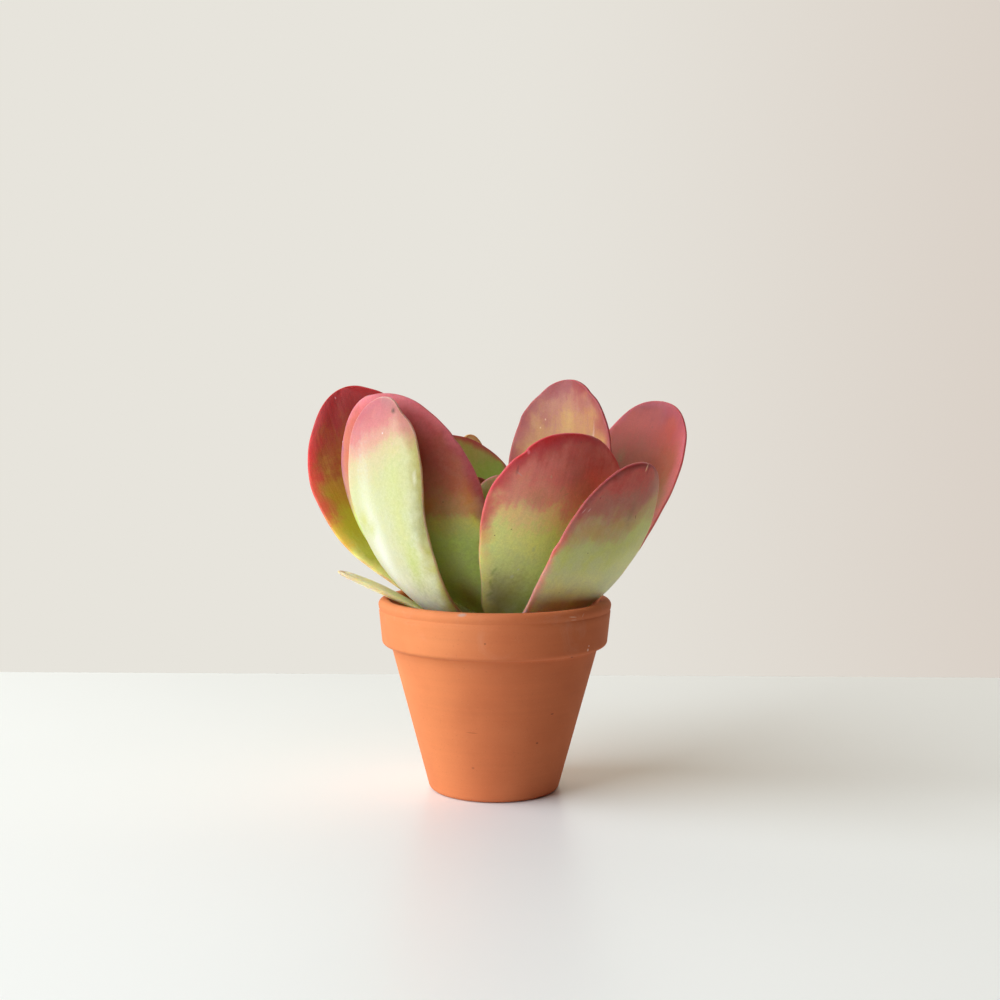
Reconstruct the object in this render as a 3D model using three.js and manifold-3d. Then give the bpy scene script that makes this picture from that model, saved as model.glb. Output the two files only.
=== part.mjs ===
// A paddle-leaved kalanchoe in a plain clay flower pot.
// Millimetres, +Z up. The origin is on the pot's axis, at the face that the pot stands on.
// Seen from the front, X runs to the right and Y to the back.

import * as THREE from "three";
import { mergeVertices } from "three/addons/utils/BufferGeometryUtils.js";
import Module from "manifold-3d";

const wasm = await Module();
wasm.setup();

// Driving dimensions ---------------------------------------------------------------------------

const SEAT_GAP = 0.3; // left between pieces that touch

// Pot: an 11 cm clay pot, tapered, with a collar round its mouth.
const POT_HEIGHT = 90.5;
const RIM_RADIUS = 55;
const MOUTH_RADIUS = 49;
const COLLAR_FOOT_HEIGHT = 69;
const COLLAR_FOOT_RADIUS = 53.3;
const BODY_TOP_RADIUS = 48.7;
const FOOT_RADIUS = 31.2;
const FOOT_ROUNDING = 2.8;
const LIP_ROUNDING = 2.6;
const COLLAR_ROUNDING = 2.2;
const UNDERCUT = 1; // small slope between the body and the collar's lower edge
const FLOOR_THICKNESS = 7;
const INNER_FLOOR_RADIUS = 18;
const INNER_CORNER_RADIUS = 24.2;
const INNER_FOOT_RADIUS = 27.8; // where the straight inner wall starts
const INNER_FOOT_RISE = 5;
const DRAIN_RADIUS = 6;
const POT_SIDES = 48;
const ARC_STEPS = 3;

// Soil: a little mound round the stem.
const SOIL_EDGE_HEIGHT = 61.3;
const SOIL_MOUND_HEIGHT = 62.5;
const SOIL_TOP_HEIGHT = 62.8;
const SOIL_MOUND_RADIUS = 20;

// Stem: upright, as thick as its foot up to the fourth pair of leaves, then tapering.
const STEM_RADIUS = 8.5;
const STEM_TIP_RADIUS = 4;
const STEM_FOOT_HEIGHT = 52;
const STEM_TOP_HEIGHT = 94.5;
const STEM_FOOT_BEVEL = 1.5;
const NODE_SWELLING = 0.6;
const LAST_PAIR = 6;
const TAPER_PAIR = 3;
const TAPER_SHAPE = 1.5;
const STEM_SIDES = 24;

// Roots: a crown under the stem's foot, with thick roots bending down and out from it.
const CROWN_RADIUS = 7;
const CROWN_FOOT_RADIUS = 4.2;
const CROWN_DEPTH = 10;
const CROWN_FOOT_RISE = 4;
const CROWN_SIDES = 12;
const ROOT_COUNT = 6;
const ROOT_RADIUS = 2.4;
const ROOT_TIP_RADIUS = 0.9;
const ROOT_START = 2;
const ROOT_REACH = 24;
const ROOT_DROP = 26;
const SHALLOW_ROOT = 0.7; // every other root drops only this share
const ROOT_SIDES = 6;
const ROOT_STEPS = 5;

// Leaves stand in opposite pairs, each pair a quarter turn from the last.
const FIRST_NODE_HEIGHT = 66;
const NODE_SPACING = 4.5;
const LEAF_ROOT_RADIUS = 4; // where a leaf's middle line starts, inside the stem
const LEAF_ROWS = 14;
const LEAF_SPANS = 6;
const WALK_STEPS = 120; // steps in which a leaf's middle line is followed
const LEAF_BASE_THICKNESS = 4.6;
const LEAF_TIP_THICKNESS = 2.4;
const LEAF_EDGE_THICKNESS = 1.3;
const SLIMMEST_LEAF = 5; // a narrow leaf is no thicker than its width over this
const SECTION_FULLNESS = 0.7; // exponent of the lens-shaped cross-section
const TIP_FULLNESS = 2.2; // exponent of the rounded end of the outline
const WAIST_SHAPE = 1.5; // how slowly the stalk end widens
const NECK_SHARE = 0.12; // share of the length over which the leaf narrows into the stem
const NECK_PINCH = 0.45;
const LEAF_ROUGHNESS = 0.5;

// pair: which pair from the bottom. length and width: of the blade laid flat.
// lean: degrees from upright at the stem and at the tip. heading: compass of the middle line.
// facing: compass of the blade's outer side. widest: share of the length where it is widest.
// stalk: width of the stalk end as a share of the blade's. cup: how far the sides turn up.
// color: the blade's average colour in daylight.
const LEAVES = {
  leaf_old_left: {
    pair: 0, length: 79, width: 13, lean: [56, 65], heading: [181, 188], facing: [190, 176],
    widest: 0.69, stalk: 0.40, cup: 15, color: 0xd7d291,
  },
  leaf_old_back: {
    pair: 0, length: 123, width: 24, lean: [79, 2], heading: [97, 123], facing: [80, 94],
    widest: 0.62, stalk: 0.50, cup: 15, color: 0xbe964b,
  },
  leaf_outer_front_right: {
    pair: 1, length: 117, width: 57, lean: [77, 23], heading: [323, 345], facing: [308, 315],
    widest: 0.60, stalk: 0.34, cup: 17, color: 0x8c6e4b,
  },
  leaf_outer_back_left: {
    pair: 1, length: 152, width: 66, lean: [66, 22], heading: [138, 164], facing: [144, 77],
    widest: 0.60, stalk: 0.23, cup: 12, color: 0x9b5f2d,
  },
  leaf_outer_front_left: {
    pair: 2, length: 136, width: 50, lean: [81, 0], heading: [212, 200], facing: [221, 228],
    widest: 0.68, stalk: 0.33, cup: 8, color: 0xe8cdaa,
  },
  leaf_outer_back_right: {
    pair: 2, length: 147, width: 58, lean: [77, 21], heading: [28, 24], facing: [50, 46],
    widest: 0.72, stalk: 0.38, cup: 20, color: 0xa0554b,
  },
  leaf_inner_front_right: {
    pair: 3, length: 105, width: 76, lean: [58, 15], heading: [306, 330], facing: [281, 313],
    widest: 0.65, stalk: 0.34, cup: 12, color: 0x96784b,
  },
  leaf_inner_back_left: {
    pair: 3, length: 104, width: 69, lean: [66, 11], heading: [129, 100], facing: [112, 110],
    widest: 0.67, stalk: 0.40, cup: 16, color: 0x6e6e2d,
  },
  leaf_inner_front_left: {
    pair: 4, length: 122, width: 73, lean: [60, 18], heading: [228, 143], facing: [256, 239],
    widest: 0.56, stalk: 0.32, cup: 36, color: 0x784632,
  },
  leaf_inner_back_right: {
    pair: 4, length: 123, width: 63, lean: [61, 0], heading: [35, 39], facing: [68, 44],
    widest: 0.65, stalk: 0.35, cup: 23, color: 0xbe7d5f,
  },
  leaf_young_front_right: {
    pair: 5, length: 61, width: 33, lean: [19, -12], heading: [316, 320], facing: [306, 297],
    widest: 0.63, stalk: 0.44, cup: 29, color: 0x826441,
  },
  leaf_young_back_left: {
    pair: 5, length: 60, width: 30, lean: [24, 3], heading: [138, 135], facing: [129, 130],
    widest: 0.62, stalk: 0.45, cup: 23, color: 0x78693c,
  },
  leaf_bud_front_left: {
    pair: 6, length: 19, width: 6, lean: [6, 0], heading: [222, 222], facing: [222, 222],
    widest: 0.5, stalk: 0.7, cup: 30, color: 0x8c7850,
  },
  leaf_bud_back_right: {
    pair: 6, length: 17, width: 6, lean: [6, 0], heading: [44, 44], facing: [44, 44],
    widest: 0.5, stalk: 0.7, cup: 30, color: 0x8c7850,
  },
};

// Small tools ----------------------------------------------------------------------------------

const radians = THREE.MathUtils.degToRad;
const mix = THREE.MathUtils.lerp;
const at = (x, y) => new THREE.Vector2(x, y);

function toSolid(geometry) {
  const bare = geometry.clone();
  bare.deleteAttribute("normal");
  bare.deleteAttribute("uv");
  const weldDistance = 1e-4;
  const welded = mergeVertices(bare, weldDistance);
  const mesh = new wasm.Mesh({
    numProp: 3,
    vertProperties: Float32Array.from(welded.attributes.position.array),
    triVerts: Uint32Array.from(welded.index.array),
  });
  return new wasm.Manifold(mesh);
}

function toGeometry(solid) {
  const mesh = solid.getMesh();
  const geometry = new THREE.BufferGeometry();
  geometry.setAttribute("position", new THREE.BufferAttribute(mesh.vertProperties, 3));
  geometry.setIndex(new THREE.BufferAttribute(mesh.triVerts, 1));
  geometry.computeVertexNormals();
  return geometry;
}

// One piece of the plant, in a matt finish of its own colour.
function piece(name, geometry, color, roughness) {
  const finish = new THREE.MeshStandardMaterial({ color, roughness, metalness: 0 });
  const mesh = new THREE.Mesh(geometry, finish);
  mesh.name = name;
  return mesh;
}

// A closed skin over a row of rings, the first capped flat and the last drawn to one point.
function skin(rings, apex) {
  const size = rings[0].length;
  const middle = rings[0].reduce((sum, point) => sum.add(point), new THREE.Vector3());
  const points = [...rings.flat(), middle.divideScalar(size), apex];
  const baseCentre = rings.length * size;
  const lastRing = baseCentre - size;
  const faces = [];
  for (let i = 0; i < size; i += 1) {
    const next = (i + 1) % size;
    faces.push(baseCentre, next, i);
    for (let start = 0; start < lastRing; start += size) {
      const a = start + i;
      const b = start + next;
      faces.push(a, b, b + size, a, b + size, a + size);
    }
    faces.push(lastRing + i, lastRing + next, baseCentre + 1);
  }
  const geometry = new THREE.BufferGeometry().setFromPoints(points);
  geometry.setIndex(faces);
  return geometry;
}

// A rounded corner in a lathe profile, from one angle to another, both included.
function arc(x, y, radius, from, to) {
  const points = [];
  for (let i = 0; i <= ARC_STEPS; i += 1) {
    const angle = radians(mix(from, to, i / ARC_STEPS));
    points.push(at(x + radius * Math.cos(angle), y + radius * Math.sin(angle)));
  }
  return points;
}

// Turns a profile, listed from the bottom up its outside, about the upright axis.
function turned(profile, sides) {
  const geometry = new THREE.LatheGeometry(profile, sides);
  geometry.rotateX(Math.PI / 2);
  return geometry;
}

function outwardNormal(from, to) {
  const step = to.clone().sub(from).normalize();
  return at(step.y, -step.x);
}

// The same profile moved outwards by a distance (inwards when it is negative).
// Its first and last points are on the axis, where the far side mirrors the near one.
function grown(profile, distance) {
  return profile.map((point, i) => {
    const before = profile[i - 1];
    const after = profile[i + 1];
    const next = after ? outwardNormal(point, after) : outwardNormal(before, point);
    const last = before ? outwardNormal(before, point) : next.clone();
    if (!before || !after) {
      last.x = -next.x;
    }
    const mitre = last.clone().add(next).divideScalar(1 + last.dot(next));
    return point.clone().addScaledVector(mitre, distance);
  });
}

// Pot ------------------------------------------------------------------------------------------

// The pot's straight inner wall at a height, as a profile point.
function innerWall(height) {
  const foot = FLOOR_THICKNESS + INNER_FOOT_RISE;
  const share = (height - foot) / (POT_HEIGHT - LIP_ROUNDING - foot);
  return at(mix(INNER_FOOT_RADIUS, MOUTH_RADIUS, share), height);
}

// The inside of the pot from its floor to the straight wall, from the middle outwards.
function innerFoot() {
  return [
    at(INNER_FLOOR_RADIUS, FLOOR_THICKNESS),
    at(INNER_CORNER_RADIUS, FLOOR_THICKNESS + 1),
    innerWall(FLOOR_THICKNESS + INNER_FOOT_RISE),
  ];
}

function potProfile() {
  const foot = FOOT_ROUNDING;
  const collar = COLLAR_ROUNDING;
  const lip = LIP_ROUNDING;
  const collarFoot = COLLAR_FOOT_HEIGHT;
  return [
    at(DRAIN_RADIUS, 0),
    ...arc(FOOT_RADIUS - foot, foot, foot, -90, -8),
    at(BODY_TOP_RADIUS, collarFoot - UNDERCUT),
    at(BODY_TOP_RADIUS + UNDERCUT, collarFoot),
    ...arc(COLLAR_FOOT_RADIUS - collar, collarFoot + collar, collar, -90, -5),
    ...arc(RIM_RADIUS - lip, POT_HEIGHT - lip, lip, 0, 90),
    ...arc(MOUTH_RADIUS + lip, POT_HEIGHT - lip, lip, 90, 180),
    ...innerFoot().reverse(),
    at(DRAIN_RADIUS, FLOOR_THICKNESS),
    at(DRAIN_RADIUS, 0),
  ];
}

// Stem and roots -------------------------------------------------------------------------------

function nodeHeight(pair) {
  return FIRST_NODE_HEIGHT + pair * NODE_SPACING;
}

// The stem swells a little where each pair of leaves joins it.
function stemProfile() {
  const profile = [
    at(0, STEM_FOOT_HEIGHT),
    at(STEM_RADIUS - STEM_FOOT_BEVEL, STEM_FOOT_HEIGHT),
    at(STEM_RADIUS, STEM_FOOT_HEIGHT + STEM_FOOT_BEVEL),
  ];
  for (let pair = 0; pair <= LAST_PAIR; pair += 1) {
    const share = Math.max(0, pair - TAPER_PAIR) / (LAST_PAIR - TAPER_PAIR);
    const radius = mix(STEM_RADIUS, STEM_TIP_RADIUS, share ** TAPER_SHAPE);
    profile.push(at(radius + NODE_SWELLING, nodeHeight(pair)));
    if (pair < LAST_PAIR) {
      profile.push(at(radius, nodeHeight(pair) + NODE_SPACING / 2));
    }
  }
  profile.push(at(0, STEM_TOP_HEIGHT));
  return profile;
}

function crownProfile() {
  const top = STEM_FOOT_HEIGHT - SEAT_GAP;
  const bottom = STEM_FOOT_HEIGHT - CROWN_DEPTH;
  return [
    at(0, bottom),
    at(CROWN_FOOT_RADIUS, bottom),
    at(CROWN_RADIUS, bottom + CROWN_FOOT_RISE),
    at(CROWN_RADIUS, top),
    at(0, top),
  ];
}

// One root, falling away from the crown ever more steeply. extra makes it thicker all round.
function root(index, extra) {
  const turn = (index / ROOT_COUNT) * 2 * Math.PI;
  const out = new THREE.Vector3(Math.cos(turn), Math.sin(turn), 0);
  const side = new THREE.Vector3(-Math.sin(turn), Math.cos(turn), 0);
  const drop = index % 2 ? ROOT_DROP : ROOT_DROP * SHALLOW_ROOT;
  const top = STEM_FOOT_HEIGHT - CROWN_DEPTH / 2;
  const rings = [];
  let tip = null;
  for (let step = 0; step <= ROOT_STEPS; step += 1) {
    const share = step / ROOT_STEPS;
    const slope = Math.atan2(2 * drop * share, ROOT_REACH);
    const upper = out.clone().multiplyScalar(Math.sin(slope)).setZ(Math.cos(slope));
    const ahead = out.clone().multiplyScalar(Math.cos(slope)).setZ(-Math.sin(slope));
    const radius = mix(ROOT_RADIUS, ROOT_TIP_RADIUS, share) + extra;
    const centre = out.clone().multiplyScalar(ROOT_START + ROOT_REACH * share);
    centre.z = top - drop * share * share;
    const ring = [];
    for (let i = 0; i < ROOT_SIDES; i += 1) {
      const angle = (i / ROOT_SIDES) * 2 * Math.PI;
      const point = centre.clone().addScaledVector(side, radius * Math.cos(angle));
      ring.push(point.addScaledVector(upper, radius * Math.sin(angle)));
    }
    rings.push(ring);
    tip = centre.addScaledVector(ahead, 2 * radius);
  }
  return toSolid(skin(rings, tip));
}

function rootBall(extra) {
  let ball = toSolid(turned(grown(crownProfile(), extra), CROWN_SIDES));
  for (let index = 0; index < ROOT_COUNT; index += 1) {
    ball = ball.add(root(index, extra));
  }
  return ball;
}

// Soil -----------------------------------------------------------------------------------------

function soil(stemHole, rootHole) {
  const profile = [
    at(0, FLOOR_THICKNESS),
    ...innerFoot(),
    innerWall(SOIL_EDGE_HEIGHT),
    at(SOIL_MOUND_RADIUS, SOIL_MOUND_HEIGHT),
    at(0, SOIL_TOP_HEIGHT),
  ];
  const filling = toSolid(turned(grown(profile, -SEAT_GAP), POT_SIDES));
  return filling.subtract(stemHole).subtract(rootHole);
}

// Leaves ---------------------------------------------------------------------------------------

// Half the blade's width at a share of its length.
function halfWidth(leaf, share) {
  const rise = Math.sin((Math.PI / 2) * Math.min(share / leaf.widest, 1)) ** WAIST_SHAPE;
  const body = leaf.stalk + (1 - leaf.stalk) * rise;
  const end = Math.max(share - leaf.widest, 0) / (1 - leaf.widest);
  const round = Math.max(1 - end ** TIP_FULLNESS, 0) ** (1 / TIP_FULLNESS);
  const neck = Math.max(1 - share / NECK_SHARE, 0);
  return (leaf.width / 2) * body * round * (1 - NECK_PINCH * neck * neck);
}

// Directions of the blade at a share of its length: along it, across it and to its inner side.
function bladeAxes(leaf, share) {
  const lean = radians(leaf.lean[1] + (leaf.lean[0] - leaf.lean[1]) * (1 - share) ** 2);
  const heading = radians(mix(leaf.heading[0], leaf.heading[1], share));
  const facing = radians(mix(leaf.facing[0], leaf.facing[1], share));
  const along = new THREE.Vector3(
    Math.sin(lean) * Math.cos(heading),
    Math.sin(lean) * Math.sin(heading),
    Math.cos(lean),
  );
  const across = new THREE.Vector3(-Math.sin(facing), Math.cos(facing), 0);
  across.addScaledVector(along, -across.dot(along)).normalize();
  const inward = new THREE.Vector3().crossVectors(along, across);
  return { along, across, inward };
}

// Points of the middle line, found by walking up the leaf in small steps.
function middleLine(leaf, shares) {
  const heading = radians(leaf.heading[0]);
  const point = new THREE.Vector3(Math.cos(heading), Math.sin(heading), 0);
  point.multiplyScalar(LEAF_ROOT_RADIUS).setZ(nodeHeight(leaf.pair));
  const walk = [point.clone()];
  for (let i = 0; i < WALK_STEPS; i += 1) {
    const { along } = bladeAxes(leaf, (i + 0.5) / WALK_STEPS);
    point.addScaledVector(along, leaf.length / WALK_STEPS);
    walk.push(point.clone());
  }
  return shares.map((share) => {
    const place = share * WALK_STEPS;
    const below = Math.min(Math.floor(place), WALK_STEPS - 1);
    return walk[below].clone().lerp(walk[below + 1], place - below);
  });
}

function leafThickness(leaf, share) {
  const grownThick = mix(LEAF_BASE_THICKNESS, LEAF_TIP_THICKNESS, share);
  return Math.min(grownThick, leaf.width / SLIMMEST_LEAF);
}

// One cross-section of the blade, across its inner face and back across its outer face.
function leafRing(leaf, share, centre) {
  const { across, inward } = bladeAxes(leaf, share);
  const half = halfWidth(leaf, share);
  const bend = radians(leaf.cup);
  const middle = leafThickness(leaf, share);
  const edge = Math.min(LEAF_EDGE_THICKNESS, middle);
  const ring = [];
  for (const face of [1, -1]) {
    for (let i = 0; i <= LEAF_SPANS; i += 1) {
      const v = face * ((2 * i) / LEAF_SPANS - 1);
      const swell = (1 - v * v) ** SECTION_FULLNESS;
      const offset = (-face * (edge + (middle - edge) * swell)) / 2;
      const tilt = bend * v;
      const point = centre.clone();
      point.addScaledVector(across, (half * Math.sin(tilt)) / bend - offset * Math.sin(tilt));
      point.addScaledVector(inward, (half * (1 - Math.cos(tilt))) / bend + offset * Math.cos(tilt));
      ring.push(point);
    }
  }
  return ring;
}

// The whole blade. Its cross-sections crowd together at the stem and at the round tip.
function leafSolid(leaf) {
  const shares = [];
  for (let row = 0; row <= LEAF_ROWS; row += 1) {
    shares.push((1 - Math.cos((Math.PI * row) / LEAF_ROWS)) / 2);
  }
  const centres = middleLine(leaf, shares);
  const rings = shares.slice(0, -1).map((share, row) => leafRing(leaf, share, centres[row]));
  return toSolid(skin(rings, centres[LEAF_ROWS]));
}

// Assembly -------------------------------------------------------------------------------------

const stemHole = toSolid(turned(grown(stemProfile(), SEAT_GAP), STEM_SIDES));
const rootHole = rootBall(SEAT_GAP);

const plant = new THREE.Group();
plant.add(piece("terracotta_pot", turned(potProfile(), POT_SIDES), 0xc8754a, 0.85));
plant.add(piece("potting_soil", toGeometry(soil(stemHole, rootHole)), 0x3a2a20, 0.95));
plant.add(piece("roots", toGeometry(rootBall(0)), 0xcdb48a, 0.8));
plant.add(piece("stem", turned(stemProfile(), STEM_SIDES), 0x9aa05c, 0.6));
for (const [name, leaf] of Object.entries(LEAVES)) {
  const blade = leafSolid(leaf).subtract(stemHole);
  plant.add(piece(name, toGeometry(blade), leaf.color, LEAF_ROUGHNESS));
}

export default plant;
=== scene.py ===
"""A paddle-leaved kalanchoe in a plain clay flower pot, for its looks.

Metres, +Z up. The origin is on the pot's axis at the face it stands on, +X is to the right and +Y to the back.
Shapes are worked out in millimetres, which become metres where a mesh is made.
"""
import math

import bpy
import numpy as np
from mathutils import Matrix, Vector


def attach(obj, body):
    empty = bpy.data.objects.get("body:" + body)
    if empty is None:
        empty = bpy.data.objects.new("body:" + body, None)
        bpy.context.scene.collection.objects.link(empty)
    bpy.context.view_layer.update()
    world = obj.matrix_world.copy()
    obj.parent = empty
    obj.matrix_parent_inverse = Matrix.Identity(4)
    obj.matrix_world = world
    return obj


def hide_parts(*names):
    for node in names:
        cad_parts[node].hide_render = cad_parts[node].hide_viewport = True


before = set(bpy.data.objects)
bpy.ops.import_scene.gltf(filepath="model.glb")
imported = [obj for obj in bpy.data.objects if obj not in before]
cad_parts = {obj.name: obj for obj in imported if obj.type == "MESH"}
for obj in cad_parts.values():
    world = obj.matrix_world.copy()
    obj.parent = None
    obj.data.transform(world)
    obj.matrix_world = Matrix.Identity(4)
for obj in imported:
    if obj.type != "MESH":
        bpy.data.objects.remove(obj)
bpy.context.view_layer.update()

MM = 0.001

# ----------------------------------------
# Sizes of the pot, its filling and the stem, the same as the solids they stand for, in millimetres
# ----------------------------------------

POT_HEIGHT = 90.5
RIM_RADIUS = 55.0
MOUTH_RADIUS = 49.0
COLLAR_FOOT_HEIGHT = 69.0
COLLAR_FOOT_RADIUS = 53.3
BODY_TOP_RADIUS = 48.7
FOOT_RADIUS = 31.2
FLOOR_THICKNESS = 7.0
INNER_FOOT_RADIUS = 27.8
INNER_FOOT_HEIGHT = 12.0
DRAIN_RADIUS = 6.0
LIP_ROUNDING = 2.6
FOOT_ROUNDING = 2.8
COLLAR_ROUNDING = 2.2
SOIL_EDGE_HEIGHT = 61.0
SOIL_TOP_HEIGHT = 62.5
STEM_RADIUS = 8.5
STEM_FOOT_HEIGHT = 52.0
STEM_TOP_HEIGHT = 94.5
FIRST_NODE_HEIGHT = 66.0
NODE_SPACING = 4.5
LEAF_ROOT_RADIUS = 4.0
STEM_TIP_RADIUS = 4.0
NODE_SWELLING = 0.6
WALL_GAP = 0.3
# not in the solids: the mound's slope, and how far out the loose bits lie
MOUND_TOP_RADIUS = 18.0
MOUND_WIDTH = 22.0
LOOSE_BITS_REACH = 38.5

# How finely the round pieces are made: points around, rows, steps in an arc, and the longest step in mm.
POT_SIDES = 288
SOIL_SIDES, SOIL_ROWS = 220, 72
STEM_SIDES, STEM_ROWS = 72, 150
ARC_STEPS = 8
LONGEST_STEP = 2.5

# Marks on the pot: middle (x, y, z), size along x, y and z, degrees turned, colour and strength.
POT_MARKS = (
    ((-14.2, -52.2, 89.7), (5, 4, 2.0), 5, "b8a498", 0.6), ((34.8, -42.5, 87.6), (5.5, 6, 0.6), -8, "e6b898", 0.7),
    ((35.4, -42.0, 86.2), (4.5, 6, 0.5), -4, "e6b898", 0.6), ((39.6, -38.6, 88.0), (3.0, 4, 0.5), 60, "e0b090", 0.5),
    ((42.2, -32.6, 71.2), (1.2, 2, 1.4), 0, "ecc8b0", 0.8), ((42.6, -32.2, 73.0), (0.8, 2, 0.9), 0, "ecc8b0", 0.6),
    ((34.9, -34.4, 68.4), (1.4, 3, 1.1), 0, "5a2c1c", 0.9), ((-4.1, -53.7, 77.3), (1.3, 2, 1.1), 0, "8c4a2c", 0.8),
    ((26.2, -32.4, 41.9), (2.0, 3, 0.7), 0, "70381f", 0.8), ((19.5, -32.8, 28.6), (1.3, 3, 1.0), 0, "7c4024", 0.7),
    ((-9.9, -38.4, 34.4), (5.5, 5, 0.5), -2, "a8552f", 0.7), ((-9.4, -33.8, 17.2), (1.5, 3, 1.3), 0, "a05030", 0.6),
    ((-16.0, -36.0, 49.5), (1.6, 3, 1.0), 0, "c06238", 0.6), ((9.0, -35.5, 25.0), (0.9, 2, 0.8), 0, "8c4a2c", 0.6),
)

# ----------------------------------------
# Leaves: form (degrees and millimetres) and look
# ----------------------------------------

# pair: which pair from the bottom. lean: degrees from upright at the stem and at the tip. heading: compass
# of the middle line, and facing: compass of the outer side, at the same two places. widest: the share of the
# length where it is widest. stalk: its width at the stem as a share. cup: half the arc of a section.
FORM_COLUMNS = ("pair", "length", "width", "lean", "heading", "facing", "widest", "stalk", "cup")
LEAF_FORMS = {
    "leaf_old_left": (0, 79, 13, (56, 65), (181, 188), (190, 176), 0.69, 0.40, 15),
    "leaf_old_back": (0, 123, 24, (79, 2), (97, 123), (80, 94), 0.62, 0.50, 15),
    "leaf_outer_front_right": (1, 117, 57, (77, 23), (323, 345), (308, 315), 0.60, 0.34, 17),
    "leaf_outer_back_left": (1, 152, 66, (66, 22), (138, 164), (144, 77), 0.60, 0.23, 12),
    "leaf_outer_front_left": (2, 136, 50, (81, 0), (212, 200), (221, 228), 0.68, 0.33, 8),
    "leaf_outer_back_right": (2, 147, 58, (77, 21), (28, 24), (50, 46), 0.72, 0.38, 20),
    "leaf_inner_front_right": (3, 105, 76, (58, 15), (306, 330), (281, 313), 0.65, 0.34, 12),
    "leaf_inner_back_left": (3, 104, 69, (66, 11), (129, 100), (112, 110), 0.67, 0.40, 16),
    "leaf_inner_front_left": (4, 122, 73, (60, 18), (228, 143), (256, 239), 0.56, 0.32, 36),
    "leaf_inner_back_right": (4, 123, 63, (61, 0), (35, 39), (68, 44), 0.65, 0.35, 23),
    "leaf_young_front_right": (5, 61, 33, (19, -12), (316, 320), (306, 297), 0.63, 0.44, 29),
    "leaf_young_back_left": (5, 60, 30, (24, 3), (138, 135), (129, 130), 0.62, 0.45, 23),
    "leaf_bud_front_left": (6, 19, 6, (6, 0), (222, 222), (222, 222), 0.5, 0.7, 30),
    "leaf_bud_back_right": (6, 17, 6, (6, 0), (44, 44), (44, 44), 0.5, 0.7, 30),
}

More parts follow.
